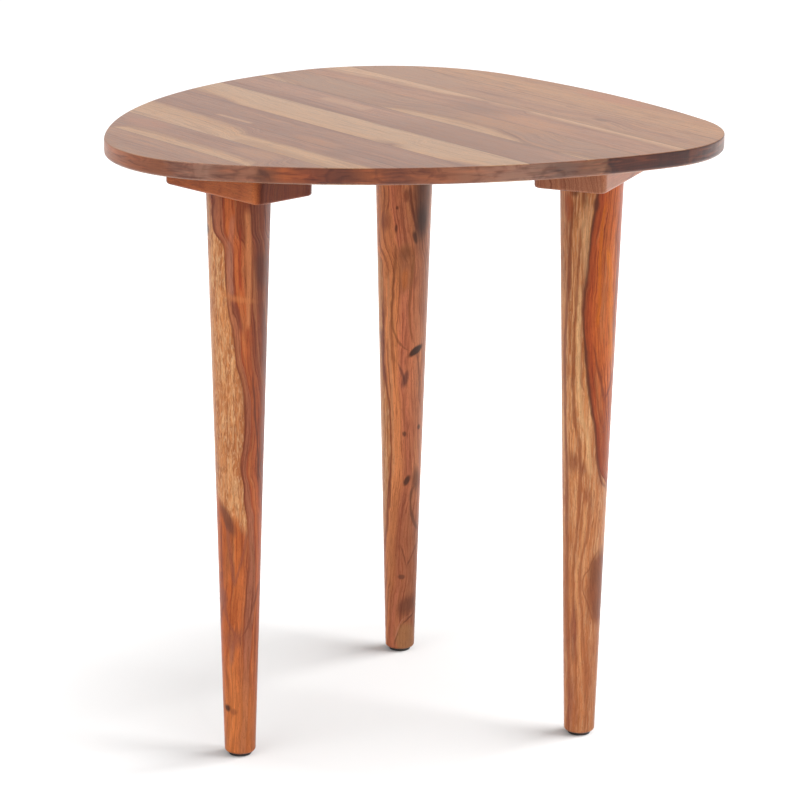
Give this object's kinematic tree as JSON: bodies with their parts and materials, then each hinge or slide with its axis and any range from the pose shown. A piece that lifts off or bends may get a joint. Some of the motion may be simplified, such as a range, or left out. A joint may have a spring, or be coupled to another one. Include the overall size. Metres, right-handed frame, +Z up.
{
  "type": "side table",
  "caption": "Small side table with an edge-glued rounded-triangle hardwood top on straight turned tapered legs that screw into cleats under the top.",
  "frame": {"origin": "on the floor, under the middle of the top's bounding box", "axes": "+Z up, -Y the front as pictured, +X to the right"},
  "size_m": [0.543, 0.486, 0.5564],
  "materials": {
    "board_dark": "satin lacquered rosewood heartwood",
    "board_light": "satin lacquered rosewood with sapwood",
    "board_brown": "satin lacquered rosewood heartwood",
    "cleat_wood": "satin lacquered rosewood",
    "leg_wood": "satin lacquered turned rosewood",
    "zinc_plated_steel": "bright zinc plate",
    "dark_nylon": "moulded matt"
  },
  "bodies": {
    "root": {"top_board_01": "board_dark", "top_board_02": "board_light", "top_board_03": "board_brown", "top_board_04": "board_dark", "top_board_05": "board_light", "top_board_06": "board_brown", "top_board_07": "board_dark", "top_board_08": "board_light", "top_board_09": "board_brown", "top_board_10": "board_dark", "cleat_front_left": "cleat_wood", "cleat_front_right": "cleat_wood", "cleat_back": "cleat_wood", "leg_front_left": "leg_wood", "leg_front_right": "leg_wood", "leg_back": "leg_wood", "hanger_bolt_front_left": "zinc_plated_steel", "hanger_bolt_front_right": "zinc_plated_steel", "hanger_bolt_back": "zinc_plated_steel", "threaded_insert_front_left": "zinc_plated_steel", "threaded_insert_front_right": "zinc_plated_steel", "threaded_insert_back": "zinc_plated_steel", "cleat_screw_front_left_1": "zinc_plated_steel", "cleat_screw_front_left_2": "zinc_plated_steel", "cleat_screw_front_left_3": "zinc_plated_steel", "cleat_screw_front_left_4": "zinc_plated_steel", "cleat_screw_front_right_1": "zinc_plated_steel", "cleat_screw_front_right_2": "zinc_plated_steel", "cleat_screw_front_right_3": "zinc_plated_steel", "cleat_screw_front_right_4": "zinc_plated_steel", "cleat_screw_back_1": "zinc_plated_steel", "cleat_screw_back_2": "zinc_plated_steel", "cleat_screw_back_3": "zinc_plated_steel", "cleat_screw_back_4": "zinc_plated_steel", "glide_front_left": "dark_nylon", "glide_front_right": "dark_nylon", "glide_back": "dark_nylon"}
  },
  "joints": []
}
